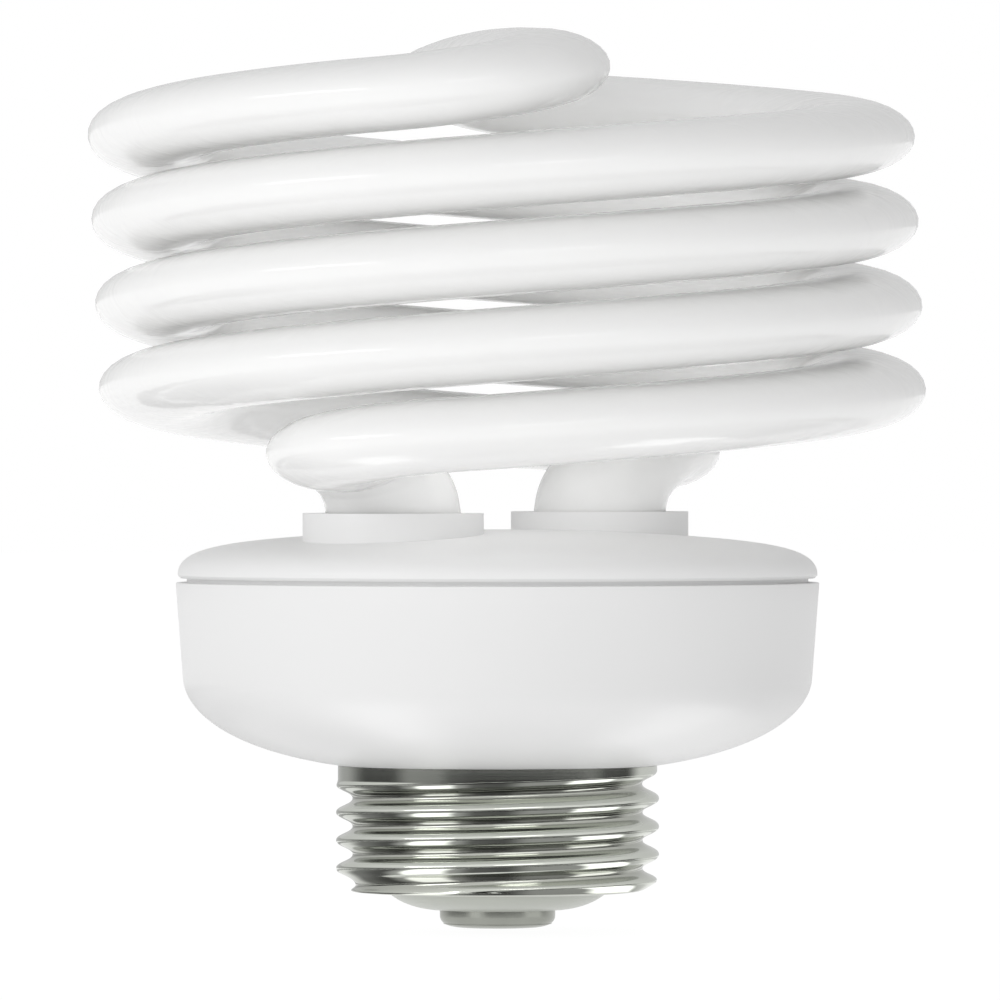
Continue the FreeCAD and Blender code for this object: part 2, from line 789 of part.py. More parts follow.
def drive_transformer(doc, s, level):
    """Small ferrite ring with three short windings, lying under the board."""
    x, y = on_board(s, RING_PLACE)
    top = level["board_under"] - s.toroid_turns
    ring = cylinder(doc, "ToroidOutside", s.toroid_radius, s.toroid_height, x, y, top - s.toroid_height)
    hole = cylinder(doc, "ToroidHole", s.toroid_bore, s.toroid_height, x, y, top - s.toroid_height)
    pieces = [cut(doc, "drive_ring", ring, hole)]
    for number in range(1, 4):
        body = new_body(doc, f"drive_winding_{number}")
        low, high = top - s.toroid_height, top
        sketch = new_sketch(body, f"DriveTurns{number}", "XZ_Plane")
        draw_outline(sketch, [
            (s.toroid_bore - s.toroid_turns, low - s.toroid_turns),
            (s.toroid_radius + s.toroid_turns, low - s.toroid_turns),
            (s.toroid_radius + s.toroid_turns, high + s.toroid_turns),
            (s.toroid_bore - s.toroid_turns, high + s.toroid_turns),
        ])
        turns = body.newObject("PartDesign::Revolution", f"DriveSector{number}")
        turns.Profile = sketch
        turns.ReferenceAxis = (sketch, ["V_Axis"])
        bind(turns, Angle=s.turns_angle)
        sketch = new_sketch(body, f"DriveHole{number}", "XZ_Plane")
        draw_outline(sketch, [
            (s.toroid_bore, low),
            (s.toroid_radius, low),
            (s.toroid_radius, high),
            (s.toroid_bore, high),
        ])
        hollow = body.newObject("PartDesign::Groove", f"DriveCore{number}")
        hollow.Profile = sketch
        hollow.ReferenceAxis = (sketch, ["V_Axis"])
        hollow.Angle = 360
        place(body, x, y)
        body.Placement.Rotation = Rotation(UP, 120 * number)
        pieces.append(body)
    return pieces


def input_inductor(doc, s, level):
    """Drum core with a winding round its waist, standing under the board."""
    x, y = on_board(s, DRUM_PLACE)
    top, low = level["board_under"], level["board_under"] - s.drum_height
    core = new_body(doc, "inductor_core")
    turn(core, "DrumCore", [
        (0, low),
        (s.drum_radius, low),
        (s.drum_radius, low + s.drum_flange),
        (s.drum_waist, low + s.drum_flange),
        (s.drum_waist, top - s.drum_flange),
        (s.drum_radius, top - s.drum_flange),
        (s.drum_radius, top),
        (0, top),
    ])
    winding = new_body(doc, "inductor_winding")
    turn(winding, "DrumWinding", [
        (s.drum_waist, low + s.drum_flange),
        (s.drum_radius - s.drum_recess, low + s.drum_flange),
        (s.drum_radius - s.drum_recess, top - s.drum_flange),
        (s.drum_waist, top - s.drum_flange),
    ])
    return [place(core, x, y), place(winding, x, y)]


def film_capacitors(doc, s, level):
    """Two dipped film capacitors with rounded edges, one each side, in front of the drive ring."""
    pieces = []
    x = board_radius(s) * FILM_PLACE
    ring_front = on_board(s, RING_PLACE)[1] - s.toroid_radius - s.toroid_turns
    y = ring_front - s.film_gap - s.film_length / 2
    for number, side in ((1, -1), (2, 1)):
        block = box(doc, f"FilmBlock_{number}", s.film_width, s.film_length, s.film_height,
                    x * side, y, level["board_under"] - s.film_height)
        doc.recompute()
        rounded = doc.addObject("Part::Fillet", f"film_capacitor_{number}")
        rounded.Base = block
        radius = s.film_round.number
        rounded.Edges = [(index + 1, radius, radius) for index in range(len(block.Shape.Edges))]
        pieces.append(rounded)
    return pieces


def transistors(doc, s, level):
    """Two flat power transistors hanging by three pins each, between the film capacitors and the diodes."""
    pieces = []
    diode_back = board_radius(s) * DIODE_PLACE + s.diode_length / 2 + s.lead_reach + s.wire_radius
    y = diode_back + s.lead_gap + s.transistor_width / 2
    aside = board_radius(s) * FILM_PLACE - s.film_width / 2 - s.case_gap - s.transistor_length / 2
    for number, side in ((1, -1), (2, 1)):
        x = aside * side
        top = level["board_under"] - s.pin_length
        case = box(doc, f"TransistorCase_{number}", s.transistor_length, s.transistor_width,
                   s.transistor_height, x, y, top - s.transistor_height)
        pins = [box(doc, f"TransistorPin_{number}_{pin}", s.pin_width, s.pin_sheet, s.pin_length,
                    x + s.pin_pitch * (pin - 2), y, top) for pin in (1, 2, 3)]
        pieces.append(fuse(doc, f"transistor_{number}", [case] + pins))
    return pieces


def diodes(doc, s, level):
    """Row of four rectifier diodes lying side by side, each lead bent up to the board."""
    pieces = []
    for number in range(1, 5):
        x, y = s.diode_pitch * (number - 2.5), board_radius(s) * DIODE_PLACE
        z = level["board_under"] - s.diode_drop
        case = lying_cylinder(doc, f"DiodeCase_{number}", s.diode_radius, s.diode_length, x, y, z)
        reach = s.diode_length / 2 + s.lead_reach
        lead = bent_wire(doc, f"DiodeLead_{number}", s.wire_radius, s.lead_bend, [
            (x, y - reach, level["board_under"]), (x, y - reach, z), (x, y + reach, z),
            (x, y + reach, level["board_under"]),
        ])
        pieces.append(fuse(doc, f"diode_{number}", [case, lead]))
    return pieces


def cap_wiring(doc, s, level):
    """Wire from the contact, fusible resistor above it and wire from the shell's lip, up to the board."""
    run = -s.fuse_place
    elbow = level["insulator_top"] + s.wire_rise
    middle = (elbow + level["board_under"]) / 2
    low = middle - s.fuse_length / 2
    wire = bent_wire(doc, "contact_wire", s.wire_radius, s.wire_bend, [
        (0, 0, s.contact_sheet), (0, 0, elbow), (run, 0, elbow), (run, 0, low),
    ])
    case = cylinder(doc, "FuseCase", s.fuse_radius, s.fuse_length, run, 0, low)
    lead = cylinder(doc, "FuseLead", s.wire_radius, level["board_under"] - low, run, 0, low)
    resistor = fuse(doc, "fuse_resistor", [case, lead])
    shell_foot = level["lip"] + s.shell_sheet + s.seat_fit
    shell_wire = cylinder(doc, "shell_wire", s.wire_radius, level["board_under"] - shell_foot,
                          s.lip_radius + s.wire_radius, 0, shell_foot)
    return [wire, resistor, shell_wire]


def build():
    doc = FreeCAD.newDocument("SpiralBulb")
    s = Sizes(doc, SIZES)
    level = heights(s)
    pieces = [
        centre_contact(doc, s, level),
        insulator(doc, s, level),
        screw_shell(doc, s, level),
        lower_housing(doc, s, level),
        top_cover(doc, s, level),
        spiral_tube(doc, s, level),
        *tube_seals(doc, s, level),
        circuit_board(doc, s, level),
        *lead_wires(doc, s, level),
        electrolytic_capacitor(doc, s, level),
        *ballast_choke(doc, s, level),
        *drive_transformer(doc, s, level),
        *input_inductor(doc, s, level),
        *film_capacitors(doc, s, level),
        *transistors(doc, s, level),
        *diodes(doc, s, level),
        *cap_wiring(doc, s, level),
    ]
    doc.recompute()
    for item in doc.Objects:
        if "Invalid" in item.State or "Error" in item.State:
            raise RuntimeError(f"{item.Name} failed: {item.State}")
    os.makedirs("parts", exist_ok=True)
    for piece in pieces:
        shape = piece.Shape
        if shape.isNull() or not shape.isValid() or not shape.Solids:
            raise RuntimeError(f"{piece.Label} has no valid solid")
        shape.exportStep(f"parts/{piece.Label}.step")
        print(f"{piece.Label}: {shape.Volume:.1f} mm3, {len(shape.Solids)} solid")


build()
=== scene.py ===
"""Spiral energy saving bulb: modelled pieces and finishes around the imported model.

Sizes inside the classes are millimetres, as on a drawing, and MM turns them into the frame's metres.
The origin is the tip of the centre contact, +Z runs up the cap's axis to the coil, and -Y is the front.
"""

import json
import logging
import math
from dataclasses import dataclass
from enum import Enum

import bpy
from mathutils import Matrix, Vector


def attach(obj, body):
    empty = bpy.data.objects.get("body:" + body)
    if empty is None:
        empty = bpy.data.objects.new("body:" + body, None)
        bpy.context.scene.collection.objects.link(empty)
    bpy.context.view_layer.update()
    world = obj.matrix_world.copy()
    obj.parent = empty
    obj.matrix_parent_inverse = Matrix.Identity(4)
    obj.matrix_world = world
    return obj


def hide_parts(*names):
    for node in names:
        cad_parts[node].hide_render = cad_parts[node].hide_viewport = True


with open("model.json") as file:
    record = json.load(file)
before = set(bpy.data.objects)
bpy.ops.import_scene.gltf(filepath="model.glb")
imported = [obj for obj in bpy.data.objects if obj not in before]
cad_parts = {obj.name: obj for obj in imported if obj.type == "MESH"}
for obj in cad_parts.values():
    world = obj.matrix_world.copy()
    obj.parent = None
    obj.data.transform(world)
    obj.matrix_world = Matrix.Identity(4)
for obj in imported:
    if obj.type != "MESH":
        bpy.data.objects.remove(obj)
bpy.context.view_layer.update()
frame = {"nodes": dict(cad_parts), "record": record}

MM = 0.001
ROOT = "root"
TURN = 2 * math.pi
# The sRGB curve is a straight line up to its knee, and a power curve above it
SRGB_KNEE, SRGB_SLOPE, SRGB_OFFSET, SRGB_POWER = 0.04045, 12.92, 0.055, 2.4
# Sockets of a Mix node that mixes colours
FIRST_COLOUR, SECOND_COLOUR, MIXED_COLOUR = 6, 7, 2
Point = tuple[float, float]
Tones = tuple[tuple[float, str], ...]
log = logging.getLogger("bulb")


def linear(code: str) -> tuple[float, float, float, float]:
    """Turn an sRGB hex code into the linear colour that a shader takes.

    Args:
        code: Six hex digits, such as "F2F3F0".

    Returns:
        Red, green, blue and an alpha of 1.
    """
    channels = [int(code[place:place + 2], 16) / 255 for place in (0, 2, 4)]
    curve = [value / SRGB_SLOPE if value <= SRGB_KNEE
             else ((value + SRGB_OFFSET) / (1 + SRGB_OFFSET)) ** SRGB_POWER for value in channels]
    return curve[0], curve[1], curve[2], 1.0


def smooth_step(value: float) -> float:
    """Rise smoothly from 0 to 1 while the value goes from 0 to 1.

    Args:
        value: Any number. Below 0 it counts as 0, and above 1 as 1.

    Returns:
        The smoothed share.
    """
    share = min(1.0, max(0.0, value))
    return share * share * (3 - 2 * share)


class Shader(Enum):
    """Node types that the finishes and the studio use."""

    COORDINATES = "ShaderNodeTexCoord"
    MAPPING = "ShaderNodeMapping"
    NOISE = "ShaderNodeTexNoise"
    RAMP = "ShaderNodeValToRGB"
    MIX = "ShaderNodeMix"
    MATH = "ShaderNodeMath"
    BUMP = "ShaderNodeBump"
    SEPARATE = "ShaderNodeSeparateXYZ"
    VECTOR = "ShaderNodeVectorMath"
    TO_WORLD = "ShaderNodeVectorTransform"
    RANGE = "ShaderNodeMapRange"
    LIGHT_PATH = "ShaderNodeLightPath"
    SURFACE = "ShaderNodeBsdfPrincipled"
    MATT = "ShaderNodeBsdfDiffuse"
    GLOW = "ShaderNodeEmission"
    BLEND = "ShaderNodeMixShader"
    BACKGROUND = "ShaderNodeBackground"
    OUTPUT = "ShaderNodeOutputMaterial"
    WORLD_OUTPUT = "ShaderNodeOutputWorld"


def add_node(tree: bpy.types.NodeTree, kind: Shader, values: dict | None = None,
             links: dict | None = None, **settings: object) -> bpy.types.Node:
    """Add one shader node with its settings, input values and links.

    Args:
        tree: The node tree that gets the node.
        kind: The node's type.
        values: Input name or index to the value set on it.
        links: Input name or index to the (node, output name) that feeds it.
        **settings: Properties of the node itself.

    Returns:
        The new node.
    """
    node = tree.nodes.new(kind.value)
    for name, value in settings.items():
        setattr(node, name, value)
    for socket, value in (values or {}).items():
        node.inputs[socket].default_value = value
    for socket, (source, output) in (links or {}).items():
        tree.links.new(source.outputs[output], node.inputs[socket])
    return node


@dataclass(frozen=True)
class Finish:
    """A finish whose colour drifts between two near tones, over a fine bump.

    Attributes:
        name: What the material really is.
        tone: Main colour as sRGB hex.
        drift: Second colour, which the first drifts towards in patches.
        roughness: How matt the surface is.
        metallic: 1 for bare metal.
        coat: Weight of a clear gloss layer over the body.
        coat_roughness: How matt that layer is.
        patch: Size of a colour patch, in millimetres.
        grain: Size of the bump's grain, in millimetres.
        relief: Height of the bump, in millimetres.
    """

    name: str
    tone: str
    drift: str
    roughness: float = 0.5
    metallic: float = 0.0
    coat: float = 0.0
    coat_roughness: float = 0.03
    patch: float = 4.0
    grain: float = 0.5
    relief: float = 0.01

    def material(self) -> bpy.types.Material:
        """Build the finish as a material.

        Returns:
            The material, named for the finish.
        """
        made = bpy.data.materials.new(self.name)
        made.use_nodes = True
        tree = made.node_tree
        tree.nodes.clear()
        place = add_node(tree, Shader.COORDINATES)
        surface = add_node(tree, Shader.SURFACE, {
            "Roughness": self.roughness, "Metallic": self.metallic,
            "Coat Weight": self.coat, "Coat Roughness": self.coat_roughness,
        })
        self.paint(tree, place, surface)
        add_node(tree, Shader.OUTPUT, links={"Surface": (surface, "BSDF")})
        return made

    def paint(self, tree: bpy.types.NodeTree, place: bpy.types.Node, surface: bpy.types.Node) -> None:
        """Join the drifting colour and the grain to the surface.

        Args:
            tree: The material's node tree.
            place: The coordinates node.
            surface: The surface's shader.
        """
        patches = add_node(tree, Shader.NOISE, {"Scale": 1 / (self.patch * MM), "Detail": 3.0},
                           {"Vector": (place, "Object")})
        colour = add_node(tree, Shader.MIX,
                          {FIRST_COLOUR: linear(self.tone), SECOND_COLOUR: linear(self.drift)},
                          {0: (patches, "Fac")}, data_type="RGBA")
        tree.links.new(colour.outputs[MIXED_COLOUR], surface.inputs["Base Color"])
        grain = add_node(tree, Shader.NOISE, {"Scale": 1 / (self.grain * MM), "Detail": 2.0},
                         {"Vector": (place, "Object")})
        bump = add_node(tree, Shader.BUMP, {"Strength": 1.0, "Distance": self.relief * MM},
                        {"Height": (grain, "Fac")})
        tree.links.new(bump.outputs["Normal"], surface.inputs["Normal"])


@dataclass(frozen=True)
class OpalGlass(Finish):
    """Clear soda-lime tube with phosphor powder settled on its inside.

    The powder gives a chalky white body with faint clouds, and the drawn glass over it a hard gloss whose
    reflections are drawn out and broken by long shallow waves.

    Attributes:
        wave: Length of the glass's waves, in millimetres.
        wave_relief: Height of those waves, in millimetres.
        scatter: Share of the light that spreads inside the tube before it leaves.
        reach: How far it spreads, in millimetres, the same for all colours.
        index: Refractive index of the glass.
    """

    wave: float = 3.2
    wave_relief: float = 0.06
    scatter: float = 0.5
    reach: float = 3.0
    index: float = 1.52

    def paint(self, tree: bpy.types.NodeTree, place: bpy.types.Node, surface: bpy.types.Node) -> None:
        """Join the powder's clouds to the body and the glass's waves to the gloss above it.

        Args:
            tree: The material's node tree.
            place: The coordinates node.
            surface: The surface's shader.
        """
        super().paint(tree, place, surface)
        waves = add_node(tree, Shader.NOISE,
                         {"Scale": 1 / (self.wave * MM), "Detail": 2.5, "Distortion": 0.6},
                         {"Vector": (place, "Object")})
        bump = add_node(tree, Shader.BUMP, {"Strength": 1.0, "Distance": self.wave_relief * MM},
                        {"Height": (waves, "Fac")})
        tree.links.new(bump.outputs["Normal"], surface.inputs["Coat Normal"])
        surface.inputs["Coat IOR"].default_value = self.index
        surface.inputs["Subsurface Weight"].default_value = self.scatter
        surface.inputs["Subsurface Radius"].default_value = (1, 1, 1)
        surface.inputs["Subsurface Scale"].default_value = self.reach * MM


@dataclass(frozen=True)
class RolledMetal(Finish):
    """Sheet brass with bright nickel plate, drawn to a cup and rolled to a thread.

    Rolling leaves fine lines round the axis. The grooves are darker than the crests: painted shade for the
    shadow down in them, with a little oxide. The thread of the lamp in the photograph is lower than an
    upright one's, so its flanks mirror as gentler slopes do.

    Attributes:
        groove_shade_and_oxide_tone: Colour down in the grooves, painted shade for their shadow with a little
            oxide.
        groove: Radius at which the metal has fully taken that colour, in millimetres.
        crest: Radius from which the metal is bright, in millimetres.
        lines: Spacing of the rolling lines, in millimetres.
        stretch: How much closer the lines' pattern stands up the axis than round it.
        flatness: How steeply the thread's flanks mirror, next to their own slope.
    """

    # Painted shade, with a little oxide: the tone down in the thread's grooves
    groove_shade_and_oxide_tone: str = "B2B4AC"
    groove: float = 11.8
    crest: float = 12.8
    lines: float = 0.25
    stretch: float = 0.02
    flatness: float = 0.5

    def paint(self, tree: bpy.types.NodeTree, place: bpy.types.Node, surface: bpy.types.Node) -> None:
        """Darken the metal by its distance from the axis, as painted shade in the grooves, and draw the
        rolling lines along the thread.

        Args:
            tree: The material's node tree.
            place: The coordinates node.
            surface: The surface's shader.
        """
        parts = add_node(tree, Shader.SEPARATE, links={"Vector": (place, "Object")})
        across = add_node(tree, Shader.MATH, links={0: (parts, "X"), 1: (parts, "X")},
                          operation="MULTIPLY")
        squared = add_node(tree, Shader.MATH,
                           links={0: (parts, "Y"), 1: (parts, "Y"), 2: (across, "Value")},
                           operation="MULTIPLY_ADD")
        radius = add_node(tree, Shader.MATH, links={0: (squared, "Value")}, operation="SQRT")
        # Painted shade: the colour darkens from the crest radius in to the groove radius, for the grooves'
        # shadow
        height = add_node(tree, Shader.RANGE,
                          {"From Min": self.groove * MM, "From Max": self.crest * MM},
                          {"Value": (radius, "Value")})
        colour = add_node(tree, Shader.MIX,
                          {FIRST_COLOUR: linear(self.groove_shade_and_oxide_tone), SECOND_COLOUR: linear(self.tone)},
                          {0: (height, "Result")}, data_type="RGBA")
        tree.links.new(colour.outputs[MIXED_COLOUR], surface.inputs["Base Color"])
        gentle = add_node(tree, Shader.VECTOR, {1: (1.0, 1.0, self.flatness)}, {0: (place, "Normal")},
                          operation="MULTIPLY")
        unit = add_node(tree, Shader.VECTOR, links={0: (gentle, "Vector")}, operation="NORMALIZE")
        facing = add_node(tree, Shader.TO_WORLD, links={"Vector": (unit, "Vector")},
                          vector_type="NORMAL", convert_from="OBJECT", convert_to="WORLD")
        stretched = add_node(tree, Shader.MAPPING, {"Scale": (self.stretch, self.stretch, 1.0)},
                             {"Vector": (place, "Object")})
        scratches = add_node(tree, Shader.NOISE, {"Scale": 1 / (self.lines * MM), "Detail": 3.0},
                             {"Vector": (stretched, "Vector")})
        bump = add_node(tree, Shader.BUMP, {"Strength": 1.0, "Distance": self.relief * MM},
                        {"Height": (scratches, "Fac"), "Normal": (facing, "Vector")})
        tree.links.new(bump.outputs["Normal"], surface.inputs["Normal"])


# Phosphor-coated lamp glass: chalky white under a wet gloss
OPAL_GLASS = OpalGlass("phosphor_coated_glass", "FBFBFA", "F8F8F7", roughness=0.55, coat=1.0,
                       coat_roughness=0.07, patch=9.0, grain=1.5, relief=0.006)
# Polybutylene terephthalate, moulded against a lightly spark-eroded tool: soft white sheen
WHITE_MOULDING = Finish("moulded_white_polyester", "EFEFEF", "ECECEC", roughness=0.38, patch=14.0,
                        grain=0.25, relief=0.0015)
# Nickel-plated sheet brass: grey-green mirror, with painted shade in the thread's grooves
NICKEL_PLATE = RolledMetal("nickel_plated_brass", "D3D6CE", "C4C7BF", roughness=0.11, metallic=1.0,
                           relief=0.002)
# Moulded urea disc that closes the cap: smooth, pale grey-green
UREA_DISC = Finish("moulded_urea_disc", "BDC0B8", "B5B8B0", roughness=0.3, patch=6.0, grain=0.3, relief=0.001)
# Tin-plated contact cup, rubbed by lamp holders: duller than the shell
TINNED_CUP = Finish("tinned_contact_sheet", "A4A69F", "94968F", roughness=0.28, metallic=1.0, patch=2.5,
                    grain=0.2, relief=0.004)
# Lamp cement, cured in the sleeves: chalk white and gritty
LEG_CEMENT = Finish("cured_lamp_cement", "DCDCD4", "CFCFC6", roughness=0.9, grain=0.15, relief=0.03)
# Phenolic paper board: tan, with faint fibre clouds
PAPER_BOARD = Finish("phenolic_paper_board", "B08B52", "9E7A44", roughness=0.55, patch=2.0, grain=0.2)
# Tinned copper wire
TINNED_WIRE = Finish("tinned_copper_wire", "C9C9C4", "B5B5B0", roughness=0.3, metallic=1.0, patch=1.0,
                     grain=0.2)
# Shrink sleeve of an electrolytic capacitor: glossy near-black film
SHRINK_SLEEVE = Finish("black_shrink_sleeve", "14161A", "1B1E24", roughness=0.3, coat=0.4, grain=1.0,
                       relief=0.01)
# Pressed and fired manganese-zinc ferrite: dull charcoal
FERRITE = Finish("fired_ferrite", "2B2B2D", "353537", roughness=0.7, patch=1.5, grain=0.12, relief=0.01)
# Enamelled copper winding: amber-red gloss
MAGNET_WIRE = Finish("enamelled_copper_winding", "9A4A1E", "7C3714", roughness=0.3, metallic=0.8, coat=0.5,
                     patch=0.8, grain=0.3, relief=0.05)
# Glass-filled nylon bobbin
BOBBIN_NYLON = Finish("glass_filled_nylon", "26262A", "1E1E20", roughness=0.5, grain=0.2)
# Dipped epoxy of a film capacitor: brick red gloss
DIPPED_EPOXY = Finish("dipped_red_epoxy", "7E2413", "8C2D18", roughness=0.25, coat=0.6, patch=3.0, grain=1.2,
                      relief=0.03)
# Moulded black epoxy of transistors and diodes
MOULDED_EPOXY = Finish("moulded_black_epoxy", "161617", "1F1F20", roughness=0.55, grain=0.12)
# Cement coat of a fusible resistor
RESISTOR_COAT = Finish("grey_green_cement_coat", "6F8474", "64786A", roughness=0.7, grain=0.2, relief=0.02)

# Finish of each material slot whose nodes keep their CAD mesh
INNER_FINISHES = {
    "leg_cement": LEG_CEMENT,
    "board_laminate": PAPER_BOARD,
    "tinned_wire": TINNED_WIRE,
    "can_sleeve": SHRINK_SLEEVE,
    "ferrite": FERRITE,
    "winding_wire": MAGNET_WIRE,
    "bobbin_moulding": BOBBIN_NYLON,
    "film_coat": DIPPED_EPOXY,
    "device_case": MOULDED_EPOXY,
    "resistor_coat": RESISTOR_COAT,
}


def deselect() -> None:
    """Leave edit mode and select nothing."""
    if bpy.context.object and bpy.context.object.mode != "OBJECT":
        bpy.ops.object.mode_set(mode="OBJECT")
    bpy.ops.object.select_all(action="DESELECT")


def choose(piece: bpy.types.Object) -> None:
    """Make one piece the only selected and the active one."""
    deselect()
    piece.select_set(True)
    bpy.context.view_layer.objects.active = piece


def settle(piece: bpy.types.Object) -> None:
    """Put a piece's place, turn and scale into its mesh, so that its object sits at the origin."""
    choose(piece)
    bpy.ops.object.transform_apply(location=True, rotation=True, scale=True)


def finish_with(piece: bpy.types.Object, kind: str, **settings: object) -> None:
    """Add a modifier, set it up and apply it.

    Args:
        piece: The piece to change.
        kind: The modifier's type name.
        **settings: The modifier's properties.
    """
    choose(piece)
    modifier = piece.modifiers.new(kind.title(), kind)
    for name, value in settings.items():
        setattr(modifier, name, value)
    bpy.ops.object.modifier_apply(modifier=modifier.name)


def hand_over(piece: bpy.types.Object, finish: Finish, slot: str, *nodes: str) -> None:
    """Dress a finished piece, seat it on the model and hide the nodes it stands for.

    Args:
        piece: The finished piece.
        finish: What it is made of.
        slot: The record's material slot. Not used.
        *nodes: CAD nodes that it replaces.
    """
    piece.data.materials.clear()
    piece.data.materials.append(finish.material())
    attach(piece, ROOT)
    if nodes:
        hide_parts(*nodes)
    log.info("%s: %d faces", piece.name, len(piece.data.polygons))


def shade(piece: bpy.types.Object, degrees: float) -> None:
    """Shade a piece smooth, apart from its edges that turn by more than an angle.

    Args:
        piece: The piece to shade.
        degrees: That angle.
    """
    choose(piece)
    bpy.ops.object.shade_smooth_by_angle(angle=math.radians(degrees))


def bend(start: Point, first: Point, second: Point, end: Point, count: int) -> list[Point]:
    """Points of a cubic bend, without its start.

    Args:
        start: Where the bend begins, as radius and height.
        first: Handle of the start.
        second: Handle of the end.
        end: Where the bend ends.
        count: How many points to give.

    Returns:
        The points, the last of which is the end.
    """
    points = []
    for step in range(1, count + 1):
        share = step / count
        rest = 1 - share
        weights = (rest ** 3, 3 * share * rest ** 2, 3 * share ** 2 * rest, share ** 3)
        corners = list(zip(weights, (start, first, second, end)))
        points.append(tuple(sum(weight * corner[axis] for weight, corner in corners) for axis in (0, 1)))
    return points


def turned(name: str, profile: list[Point], sides: int) -> bpy.types.Object:
    """Turn a profile about the axis, ring by ring, as on a lathe.

    Args:
        name: The piece's name.
        profile: Radius and height of each ring, in millimetres. A radius of 0 closes the shape to a point.
        sides: How many faces each ring has.

    Returns:
        The piece, in object mode, with its place in its mesh.
    """
    deselect()
    tip = 0.01  # A point is a ring this small, in millimetres, which the next face closes
    radius, height = max(profile[0][0], tip) * MM, profile[0][1] * MM
    bpy.ops.mesh.primitive_circle_add(vertices=sides, radius=radius, location=(0, 0, height))
    piece = bpy.context.object
    piece.name = piece.data.name = name
    settle(piece)
    bpy.ops.object.mode_set(mode="EDIT")
    bpy.ops.mesh.select_all(action="SELECT")
    if profile[0][0] == 0:
        bpy.ops.mesh.edge_face_add()
    for across, up in profile[1:]:
        wanted = max(across, tip) * MM
        bpy.ops.mesh.extrude_edges_move(TRANSFORM_OT_translate={"value": (0, 0, up * MM - height)})
        height = up * MM
        bpy.ops.transform.resize(value=(wanted / radius, wanted / radius, 1), center_override=(0, 0, height))
        radius = wanted
    if profile[-1][0] == 0:
        bpy.ops.mesh.edge_face_add()
    bpy.ops.mesh.select_all(action="SELECT")
    bpy.ops.mesh.normals_make_consistent(inside=False)
    bpy.ops.object.mode_set(mode="OBJECT")
    return piece


